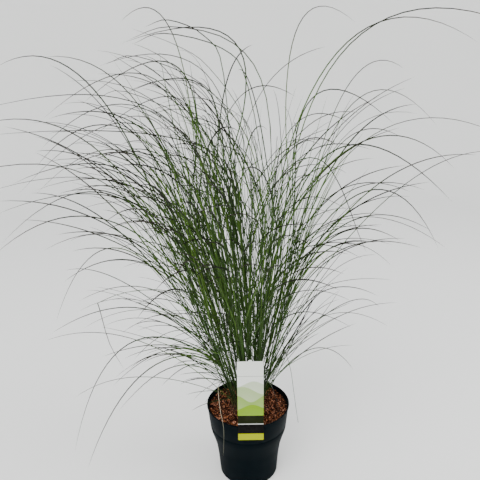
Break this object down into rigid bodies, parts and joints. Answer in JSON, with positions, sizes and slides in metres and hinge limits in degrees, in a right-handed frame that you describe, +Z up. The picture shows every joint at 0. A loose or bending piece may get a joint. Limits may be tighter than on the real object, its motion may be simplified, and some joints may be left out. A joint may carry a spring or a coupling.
{
  "type": "potted ornamental grass",
  "caption": "Potted maiden grass: a fountain of long, narrow, arching leaves on slim stems, in a tapered plastic nursery pot with bark mulch and a blank plant label hooked over the rim.",
  "frame": {"origin": "middle of the pot's flat underside", "axes": "+Z up out of the pot, +X to the right and -Y toward the viewer, on the side where the label hooks over the rim"},
  "size_m": [1.5119, 1.1907, 1.434],
  "materials": {
    "pot": "dark blue-grey polypropylene, satin",
    "soil": "damp peat held together by roots",
    "bark": "fine reddish bark chips, dry",
    "label": "thin printed plastic sheet",
    "grass": "green grass leaf, slightly waxy",
    "straw": "dead leaf, pale straw"
  },
  "bodies": {
    "root": {"pot": "pot", "root_ball": "soil", "bark_mulch": "bark", "label": "label", "shoot_01": "grass", "shoot_02": "grass", "shoot_03": "grass", "shoot_04": "grass", "shoot_05": "grass", "shoot_06": "grass", "shoot_07": "grass", "shoot_08": "grass", "shoot_09": "grass", "shoot_10": "grass", "shoot_11": "grass", "shoot_12": "grass", "shoot_13": "grass", "shoot_14": "grass", "shoot_15": "grass", "shoot_16": "grass", "shoot_17": "grass", "shoot_18": "grass", "shoot_19": "grass", "shoot_20": "grass", "shoot_21": "grass", "shoot_22": "grass", "shoot_23": "grass", "shoot_24": "grass", "shoot_25": "grass", "shoot_26": "grass", "shoot_27": "grass", "shoot_28": "grass", "shoot_29": "grass", "shoot_30": "grass", "shoot_31": "grass", "shoot_32": "grass", "shoot_33": "grass", "shoot_34": "grass", "shoot_35": "grass", "shoot_36": "grass", "shoot_37": "grass", "shoot_38": "grass", "shoot_39": "grass", "shoot_40": "grass", "shoot_41": "grass", "shoot_42": "grass", "shoot_43": "grass", "shoot_44": "grass", "dry_leaf_left": "straw", "dry_leaf_right": "straw"}
  },
  "joints": []
}
